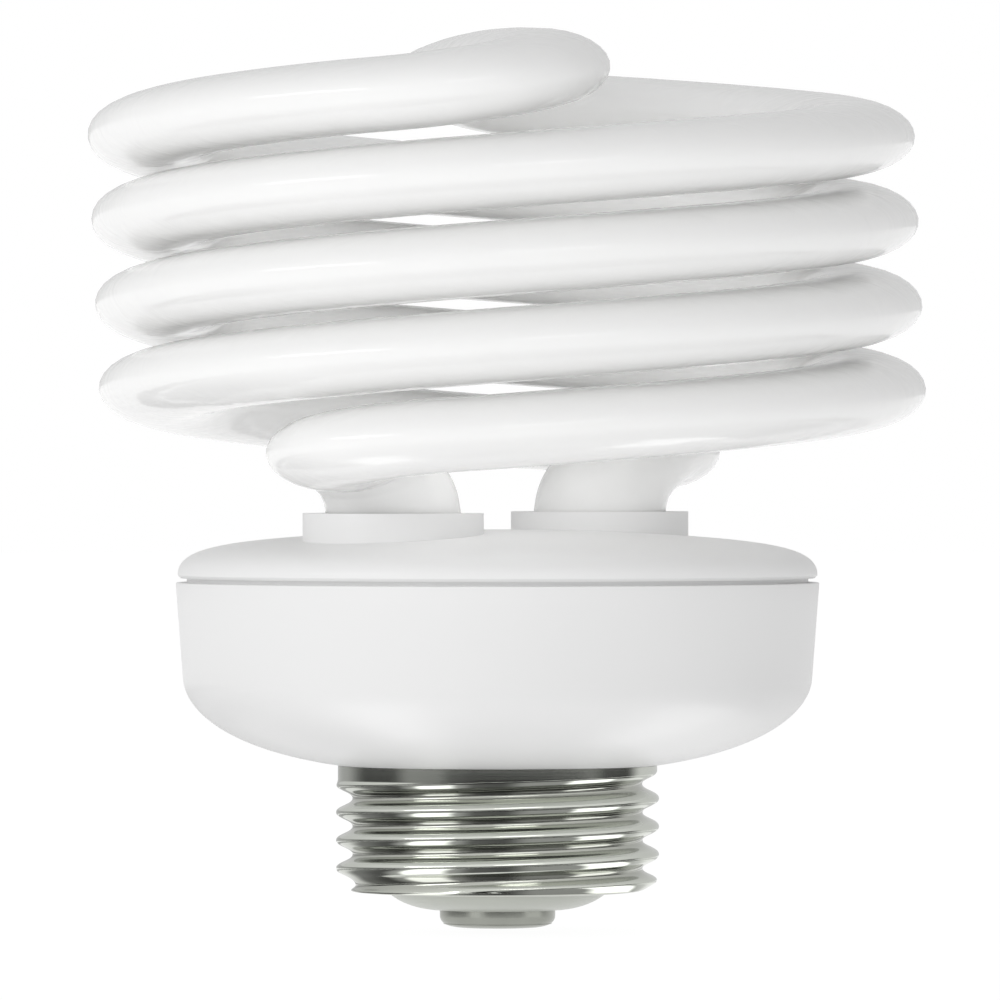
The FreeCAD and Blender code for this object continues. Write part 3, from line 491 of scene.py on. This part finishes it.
@dataclass
class SpiralGlass:
    """The glass tube: two legs, two arms wound side by side, and the crossing that joins them on top.

    Attributes:
        width, height: The tube's section.
        leg_side, leg_depth: Distance of a leg from the axis, sideways and to the front or back.
        leg_foot, collar: Height of a leg's foot, and of the collar's top that it leaves.
        leg_bend: Radius of the bend from a leg towards the coil.
        leg_bulge: How far that bend swings outward on its way.
        nose_start: Share of that bend's climb at which the nose starts.
        nose_radius: Radius of the nose, the tight turn from the leg into the coil.
        join: Degrees round from the front at which the nose runs into the coil.
        coil_radius: Radius of the coil's middle line.
        coil_start: Height at which an arm first passes the front.
        lead, turns: Rise of an arm in one turn, and its turns.
        step: Degrees between two points on the coil.
        shift, shift_rise: How far right of the cap's axis the coil sits, and the climb that takes it there.
        lean: How far the coil leans to the left for each millimetre that it climbs.
        bridge_radius: Radius of the turn from an arm into the crossing.
        bridge_side: How far that turn swings past the axis.
        bridge_rise: Height of the crossing's middle above the arms' ends.
        bridge_turn: Share of that rise and degrees turned, at each point of the turn.
        bridge_run: Distance of the last two points from the middle, as shares of the turn's.
        bridge_sag: Share of the rise that is left at the end of the turn.
        bridge_swing: How much fuller the crossing is than a straight run.
        ring_sides, smoothness: Faces round the section, and steps between two points.
    """

    width: float = 10.885
    height: float = 5.94
    leg_side: float = 8.4
    leg_depth: float = 10.5
    leg_foot: float = 26.7
    collar: float = 33.8
    leg_bend: float = 9.0
    leg_bulge: float = 0.9
    nose_start: float = 0.97
    nose_radius: float = 7.0
    join: float = -16.5
    coil_radius: float = 28.2
    coil_start: float = 40.4
    lead: float = 13.74
    turns: float = 2.0
    step: float = 15.0
    shift: float = 1.45
    shift_rise: float = 5.0
    lean: float = 0.045
    bridge_radius: float = 8.0
    bridge_side: float = 3.5
    bridge_rise: float = 2.25
    bridge_turn: tuple[Point, ...] = ((0.16, 12.0), (0.36, 38.0), (0.58, 64.0), (0.76, 90.0))
    bridge_run: Point = (0.64, 0.3)
    bridge_sag: float = 0.24
    bridge_swing: float = 1.15
    ring_sides: int = 56
    smoothness: int = 7

    @property
    def flat(self) -> float:
        """How much lower the tube is than it is wide."""
        return self.height / self.width

    @staticmethod
    def on_ring(radius: float, degrees: float) -> Vector:
        """The point of a circle about the axis that lies so many degrees round from the front."""
        angle = math.radians(degrees)
        return Vector((radius * math.sin(angle), -radius * math.cos(angle), 0))

    def leg(self) -> list[Vector]:
        """Middle line of a leg, from its foot up to where it has swung out under the coil."""
        foot = Vector((-self.leg_side, -self.leg_depth, 0))
        up = Vector((0, 0, 1))
        points = [foot + up * (self.leg_foot + (self.collar - self.leg_foot) * share)
                  for share in (0.0, 0.34, 0.67, 1.0)]
        centre = self.on_ring(self.coil_radius - self.nose_radius, self.join)
        away = centre + Vector((-self.nose_radius, 0, 0)) - foot
        span = away.length
        away.normalize()
        outward = Vector((away.y, -away.x, 0))
        for degrees in (26.0, 48.0, 68.0):
            swung = math.radians(degrees)
            gone = self.leg_bend * (1 - math.cos(swung))
            bulge = self.leg_bulge * math.sin(math.pi * min(1.0, gone / span))
            rise = self.leg_bend * math.sin(swung) * self.flat
            points.append(foot + away * gone + outward * bulge + up * (self.collar + rise))
        return points

    def nose(self) -> list[Vector]:
        """Middle line of the tight turn from the leg into the coil."""
        centre = self.on_ring(self.coil_radius - self.nose_radius, self.join)
        crest = self.collar + self.nose_start * self.leg_bend * self.flat
        joined = self.coil_start + self.lead * self.join / 360
        headings = (-95.0, -69.0, -43.0)
        points = []
        for heading in headings:
            share = (heading - headings[0]) / (self.join - headings[0])
            lift = Vector((0, 0, crest + (joined - crest) * share))
            points.append(centre + self.on_ring(self.nose_radius, heading) + lift)
        return points

    def winding(self) -> list[Vector]:
        """Middle line of one arm round the coil and over the top to just before the crossing's middle."""
        hub = self.coil_radius - self.bridge_radius
        inward = math.degrees(math.asin((self.bridge_radius - self.bridge_side) / hub))
        last = 360.0 * self.turns - inward
        steps = int((last - self.join) / self.step)
        points = []
        for number in range(steps + 1):
            turned_by = self.join + (last - self.join) * number / steps
            height = self.coil_start + self.lead * turned_by / 360
            points.append(self.on_ring(self.coil_radius, turned_by) + Vector((0, 0, height)))
        left = self.coil_start + self.lead * last / 360
        crossing = self.coil_start + self.lead * self.turns + self.bridge_rise
        hub_at = self.on_ring(hub, -inward)
        for share, heading in self.bridge_turn:
            lift = Vector((0, 0, left + (crossing - left) * share))
            points.append(hub_at + self.on_ring(self.bridge_radius, heading) + lift)
        for share in self.bridge_run:
            height = left + (crossing - left) * (1 - self.bridge_sag * share ** 2)
            points.append(Vector((self.bridge_side * share * self.bridge_swing, hub_at.y * share, height)))
        return points

    def middle_line(self) -> list[Vector]:
        """Middle line of the whole tube, foot to foot, with the coil's own shift and lean."""
        arm = self.leg() + self.nose() + self.winding()
        crossing = Vector((0, 0, self.coil_start + self.lead * self.turns + self.bridge_rise))
        back = [Vector((-point.x, -point.y, point.z)) for point in reversed(arm)]
        settled = self.collar + self.leg_bend * self.flat
        line = []
        for point in arm + [crossing] + back:
            above = point.z - settled
            aside = self.shift * smooth_step(above / self.shift_rise) - self.lean * max(0.0, above)
            line.append(point + Vector((aside, 0, 0)))
        return line

    def build(self) -> bpy.types.Object:
        """Bend a round tube along a stretched middle line and press it to its height, as its section is flat.

        Returns:
            The tube as one closed mesh.
        """
        deselect()
        bpy.ops.curve.primitive_bezier_curve_add(location=(0, 0, 0))
        tube = bpy.context.object
        tube.name = "spiral_glass"
        line = self.middle_line()
        spline = tube.data.splines[0]
        spline.bezier_points.add(len(line) - 2)
        for knot, point in zip(spline.bezier_points, line):
            knot.handle_left_type = knot.handle_right_type = "AUTO"
            knot.co = Vector((point.x, point.y, point.z / self.flat)) * MM
        spline.resolution_u = tube.data.resolution_u = self.smoothness
        tube.data.dimensions = "3D"
        tube.data.bevel_depth = self.width / 2 * MM
        tube.data.bevel_resolution = self.ring_sides // 4 - 1
        tube.data.use_fill_caps = True
        choose(tube)
        bpy.ops.object.convert(target="MESH")
        tube = bpy.context.object
        bpy.ops.transform.resize(value=(1, 1, self.flat), center_override=(0, 0, 0))
        settle(tube)
        bpy.ops.object.mode_set(mode="EDIT")
        bpy.ops.mesh.select_all(action="SELECT")
        bpy.ops.mesh.remove_doubles(threshold=0.001 * MM)
        bpy.ops.mesh.normals_make_consistent(inside=False)
        bpy.ops.object.mode_set(mode="OBJECT")
        bpy.ops.object.shade_smooth()
        return tube


@dataclass
class BallastHousing:
    """The moulded bowl and the cover that snaps into it, with a round collar for each leg.

    Attributes:
        rim, rim_radius: Height and outer radius of the bowl's rim.
        side, foot_radius: Height and outer radius at the foot of its steep wall.
        floor, neck_radius: Height and radius at which the bowl meets the cap.
        foot_handle, neck_handle: Handles of the round between those two, as steps out and up.
        inside: Depth of the straight wall inside the rim, and how far the lining leans in below it.
        seam, seam_depth: Height and depth of the gap between bowl and cover.
        cover_radius, cover_edge: Outer radius of the cover, and the chamfer at its foot.
        shoulder, brow: Handles of its round, as a step down, and as steps in and down.
        plateau: Radius and drop of the ring where the cover turns nearly flat.
        collar_radius, collar_bore, collar_top: Outer radius, bore and top of a collar.
        bore_length: Length of the tool that bores it, half of it below the top.
        leg_side, leg_depth: Distance of a collar from the axis, sideways and to the front or back.
        edge, edge_steps: Width and faces of the small round on moulded edges.
        edge_angle: Degrees from which an edge gets one.
        sides, collar_sides: Faces round the bowl and the cover, and round a collar.
    """

    rim: float = 28.1
    rim_radius: float = 26.2
    foot_radius: float = 25.6
    side: float = 20.1
    floor: float = 13.2
    neck_radius: float = 12.9
    foot_handle: Point = (-0.3, -2.48)
    neck_handle: Point = (-3.6, 1.28)
    wall: float = 1.55
    inside: Point = (3.0, 2.0)
    seam: float = 0.35
    seam_depth: float = 0.75
    cover_radius: float = 26.05
    cover_edge: float = 0.25
    crown: float = 32.4
    shoulder: float = 1.5
    brow: Point = (3.5, 0.9)
    plateau: Point = (12.0, 0.3)
    collar_radius: float = 7.3
    collar_bore: float = 5.62
    bore_length: float = 6.0
    collar_top: float = 33.8
    leg_side: float = 8.4
    leg_depth: float = 10.5
    edge: float = 0.12
    edge_steps: int = 3
    edge_angle: float = 35.0
    sides: int = 192
    collar_sides: int = 96

    def bowl(self) -> bpy.types.Object:
        """Turn the bowl, from under the seam down the outside to the cap, and back up its inside.

        Returns:
            The bowl as one closed mesh.
        """
        inner = self.rim_radius - self.wall
        deep, inward = self.inside
        profile = [(inner, self.rim - deep), (inner, self.rim), (self.rim_radius, self.rim)]
        profile += [(self.rim_radius - (self.rim_radius - self.foot_radius) * share,
                     self.rim - (self.rim - self.side) * share) for share in (0.25, 0.5, 0.75, 1.0)]
        profile += bend((self.foot_radius, self.side),
                        (self.foot_radius + self.foot_handle[0], self.side + self.foot_handle[1]),
                        (self.foot_radius + self.neck_handle[0], self.floor + self.neck_handle[1]),
                        (self.neck_radius, self.floor), 22)
        profile += [(self.neck_radius, self.floor + 0.6), (inner - inward, self.rim - deep - 1.0),
                    (inner, self.rim - deep)]
        return self.soften(turned("ballast_bowl", profile, self.sides))

    def cover(self) -> bpy.types.Object:
        """Turn the cover's crown and add a bored collar for each leg.

        Returns:
            The cover as one closed mesh.
        """
        low = self.rim + self.seam
        inner = self.cover_radius - self.seam_depth
        radius, drop = self.plateau
        profile = [(inner, self.rim - 1.0), (inner, low), (self.cover_radius - self.cover_edge, low),
                   (self.cover_radius, low + self.cover_edge)]
        profile += bend(profile[-1], (self.cover_radius, self.crown - self.shoulder),
                        (self.cover_radius - self.brow[0], self.crown - self.brow[1]),
                        (radius, self.crown - drop), 24)
        profile += bend(profile[-1], (radius * 2 / 3, self.crown - drop / 4), (radius / 3, self.crown),
                        (0.0, self.crown), 6)
        piece = turned("ballast_cover", profile, self.sides)
        choose(piece)
        bpy.ops.object.mode_set(mode="EDIT")
        bpy.ops.mesh.select_all(action="DESELECT")
        bpy.ops.mesh.select_non_manifold()
        bpy.ops.mesh.edge_face_add()
        bpy.ops.mesh.select_all(action="SELECT")
        bpy.ops.mesh.normals_make_consistent(inside=False)
        bpy.ops.object.mode_set(mode="OBJECT")
        for side in (-1, 1):
            self.join_collar(piece, side)
        return self.soften(piece)

    def join_collar(self, cover: bpy.types.Object, side: int) -> None:
        """Join one bored collar to the cover.

        Args:
            cover: The cover's crown.
            side: -1 for the front left leg, 1 for the back right one.
        """
        stock = (self.collar_radius, self.collar_top - self.rim, (self.collar_top + self.rim) / 2, "UNION")
        bore = (self.collar_bore, self.bore_length, self.collar_top, "DIFFERENCE")
        for radius, length, height, operation in (stock, bore):
            deselect()
            bpy.ops.mesh.primitive_cylinder_add(
                vertices=self.collar_sides, radius=radius * MM, depth=length * MM, end_fill_type="NGON",
                location=(self.leg_side * side * MM, self.leg_depth * side * MM, height * MM))
            tool = bpy.context.object
            settle(tool)
            finish_with(cover, "BOOLEAN", operation=operation, object=tool, solver="EXACT")
            bpy.data.objects.remove(tool)

    def soften(self, piece: bpy.types.Object) -> bpy.types.Object:
        """Round the sharp edges a little, as a moulding tool leaves them."""
        finish_with(piece, "BEVEL", width=self.edge * MM, segments=self.edge_steps, limit_method="ANGLE",
                    angle_limit=math.radians(self.edge_angle), use_clamp_overlap=True)
        shade(piece, self.edge_angle)
        return piece


@dataclass
class ScrewCap:
    """The rolled screw shell, the disc that closes it and the centre contact.

    Attributes:
        crest, band: Radius of the thread's crests, and of the plain band above them.
        depth, pitch: Depth of the thread, and its rise in one turn.
        fullness: How much crests and grooves are rounded out, from 0 to 1.
        narrowness: Above 1 the grooves are narrower than the crests.
        thread_start: Height of the highest crest at the right side.
        band_height, band_blend: Climb from crest to band, and where it starts, down from the top.
        lip, lip_radius: Height of the shell's lower edge, and radius of the hole for the disc.
        corner, lip_rise: Radius of the round above that edge, and the climb to the full width.
        root: Radius inside which the thread leaves the edge alone.
        runout_start, runout: Where the thread's upper end starts to fade, and over how far, in radians.
        contact_radius, contact_height, contact_round: Size of the contact and of its rounded edge.
        sides, rows: Faces round the shell, and rings up its wall.
    """

    crest: float = 13.15
    band: float = 13.0
    depth: float = 1.34
    pitch: float = 2.28
    fullness: float = 0.3
    narrowness: float = 1.05
    thread_start: float = 10.52
    band_height: float = 0.7
    band_blend: float = 1.8
    top: float = 13.2
    lip: float = 2.9
    lip_radius: float = 8.95
    corner: float = 12.4
    lip_rise: float = 1.3
    root: float = 11.2
    sheet: float = 0.3
    runout_start: float = math.radians(23)
    runout: float = math.radians(80)
    contact_radius: float = 4.7
    contact_height: float = 1.45
    contact_round: float = 2.2
    sides: int = 240
    rows: int = 132

    def groove(self, angle: float, height: float) -> float:
        """Depth of the rolled thread below its crest.

        Args:
            angle: Place round the axis, from -pi to pi.
            height: Height above the contact's tip, in millimetres.

        Returns:
            The depth in millimetres, which fades where the thread's ends run into plain metal.
        """
        turns = (height - self.thread_start - self.pitch / 2) / self.pitch - angle / TURN
        nearest = round(turns)
        swept = angle + TURN * nearest
        fade = 1 - smooth_step((swept - self.runout_start) / self.runout)
        wave = ((1 + math.cos(TURN * (turns - nearest))) / 2) ** self.narrowness
        return self.depth * (wave + (smooth_step(wave) - wave) * self.fullness) * fade

    def shell(self) -> bpy.types.Object:
        """Draw a plain cup with a rounded lip, then roll the thread into its wall.

        Returns:
            The shell's outside, closed by its lip and its top edge.
        """
        corner, wall = self.corner, self.lip + self.lip_rise
        profile = [(self.lip_radius, self.lip + self.sheet), (self.lip_radius, self.lip)]
        profile += bend(profile[-1], (corner - 0.8, self.lip), (corner, self.lip),
                        (corner + 0.05, self.lip + 0.3), 12)
        profile += bend(profile[-1], (corner + 0.1, self.lip + 0.6), (self.crest, wall - 0.5),
                        (self.crest, wall), 24)
        for row in range(1, self.rows + 1):
            height = wall + (self.top - wall) * row / self.rows
            share = smooth_step((height - (self.top - self.band_blend)) / self.band_height)
            profile.append((self.crest + (self.band - self.crest) * share, height))
        profile.append((self.band - self.sheet, self.top))
        piece = turned("screw_shell_metal", profile, self.sides)
        for vertex in piece.data.vertices:
            across, along, up = vertex.co / MM
            radius = math.hypot(across, along)
            share = math.sqrt(min(1.0, max(0.0, (radius - self.root) / (self.crest - self.root))))
            sunk = self.groove(math.atan2(along, across), up) * share
            if up < self.top and radius > self.lip_radius + self.sheet:
                vertex.co.x *= (radius - sunk) / radius
                vertex.co.y *= (radius - sunk) / radius
        shade(piece, 70)
        return piece

    def disc(self) -> bpy.types.Object:
        """Turn the disc that bulges down from the shell's lip to the contact."""
        profile = [(self.lip_radius, self.lip + self.sheet), (self.lip_radius, self.lip)]
        profile += bend(profile[-1], (self.lip_radius * 0.92, self.lip - 0.725),
                        (self.lip_radius * 0.75, self.contact_height),
                        (self.contact_radius + 0.1, self.contact_height), 14)
        profile += [(self.contact_radius - 0.6, self.contact_height),
                    (self.contact_radius - 0.6, self.lip + self.sheet),
                    (self.lip_radius, self.lip + self.sheet)]
        piece = turned("cap_disc_moulding", profile, 128)
        shade(piece, 35)
        return piece

    def contact(self) -> bpy.types.Object:
        """Turn the drawn contact cup with its rounded edge."""
        inner = self.contact_radius - self.sheet
        profile = [(0, 0), (self.contact_radius - self.contact_round, 0)]
        profile += bend(profile[-1], (self.contact_radius - 0.9, 0), (self.contact_radius, 0.2),
                        (self.contact_radius, self.contact_height - 0.45), 12)
        profile += [(self.contact_radius, self.contact_height), (inner, self.contact_height),
                    (inner, self.sheet), (0, self.sheet)]
        piece = turned("contact_cup_metal", profile, 96)
        shade(piece, 40)
        return piece


@dataclass(frozen=True)
class SoftLamp:
    """A soft lamp that faces the coil.

    Attributes:
        name: The lamp's name.
        azimuth, elevation: Degrees to the right of the camera, and above the coil's middle.
        width, height: Its size in metres.
        radiance: How bright its face is, where 1 is as bright as the white background.
        mirrored: Whether shiny faces show it.
    """

    name: str
    azimuth: float
    elevation: float
    width: float
    height: float
    radiance: float
    mirrored: bool = True

    def hang(self, middle: Vector, distance: float) -> None:
        """Hang the lamp.

        Args:
            middle: The coil's middle, which it faces.
            distance: How far from there it hangs, in metres.
        """
        azimuth, elevation = math.radians(self.azimuth), math.radians(self.elevation)
        away = Vector((math.sin(azimuth) * math.cos(elevation), -math.cos(azimuth) * math.cos(elevation),
                       math.sin(elevation)))
        place = middle + away * distance
        deselect()
        bpy.ops.object.light_add(type="AREA", location=place)
        lamp = bpy.context.object
        lamp.name = self.name
        lamp.data.shape = "ELLIPSE"
        lamp.data.size, lamp.data.size_y = self.width, self.height
        lamp.data.energy = self.radiance * math.pi * math.pi / 4 * self.width * self.height
        lamp.rotation_euler = (middle - place).to_track_quat("-Z", "Y").to_euler()
        lamp.visible_glossy = self.mirrored


@dataclass(frozen=True)
class RingCard:
    """A ring of toned cloth round the cap, which only shiny faces show.

    Attributes:
        name: The card's name.
        edges: Radius and height of its two edges, in millimetres.
        strength: How bright a white tone is, where 1 is as bright as the background.
        tones: Degrees to the right of the camera and sRGB hex tone, from -180 up.
    """

    name: str
    edges: tuple[Point, Point]
    strength: float
    tones: Tones

    def cloth(self) -> bpy.types.Material:
        """A glow whose tone changes with the direction from the axis."""
        paint = bpy.data.materials.new(self.name + "_cloth")
        paint.use_nodes = True
        tree = paint.node_tree
        tree.nodes.clear()
        place = add_node(tree, Shader.COORDINATES)
        parts = add_node(tree, Shader.SEPARATE, links={"Vector": (place, "Object")})
        ahead = add_node(tree, Shader.MATH, {1: -1.0}, {0: (parts, "Y")}, operation="MULTIPLY")
        azimuth = add_node(tree, Shader.MATH, links={0: (parts, "X"), 1: (ahead, "Value")},
                           operation="ARCTAN2")
        share = add_node(tree, Shader.RANGE, {"From Min": -math.pi, "From Max": math.pi},
                         {"Value": (azimuth, "Value")})
        ramp = add_node(tree, Shader.RAMP, links={"Fac": (share, "Result")})
        ramp.color_ramp.interpolation = "EASE"
        stops = ramp.color_ramp.elements
        stops.remove(stops[1])
        stops[0].color = linear(self.tones[0][1])
        for degrees, tone in self.tones[1:]:
            stops.new(0.5 + degrees / 360).color = linear(tone)
        glow = add_node(tree, Shader.GLOW, {"Strength": self.strength}, {"Color": (ramp, "Color")})
        add_node(tree, Shader.OUTPUT, links={"Surface": (glow, "Emission")})
        return paint

    def build(self) -> None:
        """Stand or lay the card round the cap."""
        card = turned(self.name, list(self.edges), 180)
        card.data.materials.append(self.cloth())
        card.visible_camera = card.visible_diffuse = False
        card.visible_shadow = card.visible_transmission = False


# A narrow lamp for the streak on each winding, a weaker one for the streak at its right, and a low fill
SOFT_LAMPS = (
    SoftLamp("front_left_softbox", azimuth=-53, elevation=17, width=0.8, height=0.12, radiance=4.6),
    SoftLamp("front_right_strip", azimuth=14, elevation=22, width=0.7, height=0.08, radiance=3.6),
    SoftLamp("low_front_fill", azimuth=-8, elevation=1.5, width=1.2, height=0.12, radiance=5.6,
             mirrored=False),
)
# Round the cap at its own height: dark in front, for the dark lines at the thread's crests and valleys
WALL_TONES = ((-180, "D0D0D0"), (-132, "B0B0B0"), (-100, "484848"), (-76, "404040"), (-60, "8C8C8C"),
              (-42, "808080"), (-28, "404040"), (-13, "161616"), (7, "161616"), (28, "2C2C2C"),
              (48, "505050"), (66, "747474"), (80, "404040"), (98, "404040"), (118, "E0E0E0"),
              (180, "D0D0D0"))
# Just under the cap: two bright places, which give the glints left and right on the crests
TABLE_TONES = ((-180, "C0C0C0"), (-118, "B4B4B4"), (-92, "606060"), (-66, "404040"), (-54, "808080"),
               (-47, "FFFFFF"), (-30, "FFFFFF"), (-22, "7C7C7C"), (-11, "484848"), (4, "404040"),
               (21, "787878"), (45, "787878"), (54, "FFFFFF"), (82, "FFFFFF"), (90, "949494"),
               (97, "A0A0A0"), (118, "C0C0C0"), (180, "C0C0C0"))
RING_CARDS = (
    RingCard("wall_card", ((70.0, 3.0), (70.0, 13.0)), 1.0, WALL_TONES),
    RingCard("apron_card", ((38.0, 0.1), (70.0, 0.1)), 1.0, WALL_TONES),
    RingCard("table_card", ((13.0, 0.1), (38.0, 0.1)), 2.0, TABLE_TONES),
)


@dataclass
class Studio:
    """Plain pale floor, soft lamps and a camera at the photograph's angle.

    Attributes:
        distance, eye, lens: Where the camera stands, ahead of the axis and up, and its focal length.
        aim, aim_side: Height that it looks at, and how far right of the axis it stands and looks.
        ambient: Brightness of the surroundings as a light.
        left_share, back_share, low_share: How much brighter that is from the left, behind and below.
        mirrored, mirrored_front: Brightness of the surroundings in a shiny face, and what the front adds.
        floor_light: Brightness of the floor's own glow.
        floor_glow: Share of that glow in the light that the floor gives. The rest is matt white.
        floor_shade: Share of matt white in the floor as it is seen, which keeps the shadow.
        lamp_distance: How far from the coil the soft lamps hang, in metres.
        inner_height, inner_front: Place of the lamp inside the coil, up from the tip and before the axis.
        inner_size, inner_power: Its radius, and its power in watts.
    """

    distance: float = 977.0
    eye: float = 40.5
    aim: float = 34.8
    aim_side: float = 0.2
    lens: float = 432.0
    ambient: float = 0.685
    left_share: float = 0.2
    back_share: float = 0.13
    low_share: float = 0.12
    mirrored: float = 0.86
    mirrored_front: float = 0.2
    floor_light: float = 1.06
    floor_glow: float = 0.6
    floor_shade: float = 0.1
    lamp_distance: float = 1.1
    inner_height: float = 47.0
    inner_front: float = 13.0
    inner_size: float = 8.0
    inner_power: float = 0.0034

    def light_path(self, tree: bpy.types.NodeTree) -> bpy.types.Node:
        """A value of 1 for camera, mirror and glass rays, and 0 for the light that falls on things."""
        path = add_node(tree, Shader.LIGHT_PATH)
        seen = add_node(tree, Shader.MATH,
                        links={0: (path, "Is Camera Ray"), 1: (path, "Is Glossy Ray")}, operation="ADD")
        return add_node(tree, Shader.MATH, links={0: (seen, "Value"), 1: (path, "Is Transmission Ray")},
                        operation="ADD", use_clamp=True)

    def world(self) -> None:
        """White surroundings, which are dimmer as a light, and in shiny faces, than as a background."""
        world = bpy.data.worlds.new("studio")
        bpy.context.scene.world = world
        world.use_nodes = True
        tree = world.node_tree
        tree.nodes.clear()
        seen = self.light_path(tree)
        heading = add_node(tree, Shader.COORDINATES)
        parts = add_node(tree, Shader.SEPARATE, links={"Vector": (heading, "Generated")})
        links = {}
        for axis, share in (("X", -self.left_share), ("Y", self.back_share), ("Z", -self.low_share)):
            ambient = add_node(tree, Shader.MATH, {1: share, 2: self.ambient},
                               {0: (parts, axis), **links}, operation="MULTIPLY_ADD")
            links = {2: (ambient, "Value")}
        mirrored = add_node(tree, Shader.MATH, {1: -self.mirrored_front, 2: self.mirrored},
                            {0: (parts, "Y")}, operation="MULTIPLY_ADD")
        path = add_node(tree, Shader.LIGHT_PATH)
        lit = add_node(tree, Shader.RANGE, {"To Max": 1.0},
                       {"Value": (seen, "Value"), "To Min": (ambient, "Value")})
        strength = add_node(tree, Shader.RANGE, links={
            "Value": (path, "Is Glossy Ray"), "To Min": (lit, "Result"), "To Max": (mirrored, "Value")})
        white = add_node(tree, Shader.BACKGROUND, {"Color": (1, 1, 1, 1)},
                         {"Strength": (strength, "Result")})
        add_node(tree, Shader.WORLD_OUTPUT, links={"Surface": (white, "Background")})

    def floor(self) -> None:
        """A pale floor that keeps the object's shadow and otherwise runs into the white surroundings."""
        deselect()
        bpy.ops.mesh.primitive_plane_add(size=6.0, location=(0, 0, -0.0004))
        floor = bpy.context.object
        floor.name = "studio_floor"
        paint = bpy.data.materials.new("white_studio_floor")
        paint.use_nodes = True
        tree = paint.node_tree
        tree.nodes.clear()
        seen = self.light_path(tree)
        matt = add_node(tree, Shader.MATT, {"Color": linear("F6F6F6")})
        glow = add_node(tree, Shader.GLOW, {"Color": (1, 1, 1, 1), "Strength": self.floor_light})
        share = add_node(tree, Shader.RANGE,
                         {"To Min": self.floor_glow, "To Max": 1 - self.floor_shade},
                         {"Value": (seen, "Value")})
        both = add_node(tree, Shader.BLEND,
                        links={0: (share, "Result"), 1: (matt, "BSDF"), 2: (glow, "Emission")})
        add_node(tree, Shader.OUTPUT, links={"Surface": (both, "Shader")})
        floor.data.materials.append(paint)

    def inner_lamp(self) -> None:
        """Hang a weak round lamp inside the coil, for the light that the real glass lets through."""
        deselect()
        place = (0, -self.inner_front * MM, self.inner_height * MM)
        bpy.ops.object.light_add(type="POINT", location=place)
        lamp = bpy.context.object
        lamp.name = "coil_glow"
        lamp.data.shadow_soft_size = self.inner_size * MM
        lamp.data.energy = self.inner_power
        lamp.visible_glossy = False

    def camera(self) -> None:
        """A long lens far in front, a little above the cap, as in the photograph."""
        place = Vector((self.aim_side, -self.distance, self.eye)) * MM
        aim = Vector((self.aim_side, 0, self.aim)) * MM
        deselect()
        bpy.ops.object.camera_add(location=place)
        camera = bpy.context.object
        camera.rotation_euler = (aim - place).to_track_quat("-Z", "Y").to_euler()
        camera.data.sensor_width = 36.0
        camera.data.lens = self.lens
        camera.data.clip_end = 20.0
        bpy.context.scene.camera = camera

    def build(self) -> None:
        """Set up everything that isn't the object."""
        bpy.context.scene.view_settings.view_transform = "Standard"
        self.camera()
        self.world()
        self.floor()
        for lamp in SOFT_LAMPS:
            lamp.hang(Vector((0, 0, self.eye * MM)), self.lamp_distance)
        self.inner_lamp()
        for card in RING_CARDS:
            card.build()


def dress_inner_nodes() -> None:
    """Give each CAD node that keeps its own mesh the finish of its material slot."""
    slots = {row["node"]: row["material_slot"] for row in frame["record"]["subparts"]}
    made = {slot: finish.material() for slot, finish in INNER_FINISHES.items()}
    for name, node in frame["nodes"].items():
        if slots[name] in made:
            node.data.materials.clear()
            node.data.materials.append(made[slots[name]])


def main() -> None:
    """Build the studio, then each sub-assembly in turn."""
    logging.basicConfig(level=logging.INFO, format="%(name)s: %(message)s")
    Studio().build()
    hand_over(SpiralGlass().build(), OPAL_GLASS, "opal_glass", "spiral_tube")
    housing = BallastHousing()
    hand_over(housing.bowl(), WHITE_MOULDING, "white_moulding", "lower_housing")
    hand_over(housing.cover(), WHITE_MOULDING, "white_moulding", "top_cover")
    cap = ScrewCap()
    hand_over(cap.shell(), NICKEL_PLATE, "rolled_shell", "screw_shell")
    hand_over(cap.disc(), UREA_DISC, "cap_disc", "insulator")
    hand_over(cap.contact(), TINNED_CUP, "contact_cup", "centre_contact")
    dress_inner_nodes()


if __name__ == "__main__":
    main()
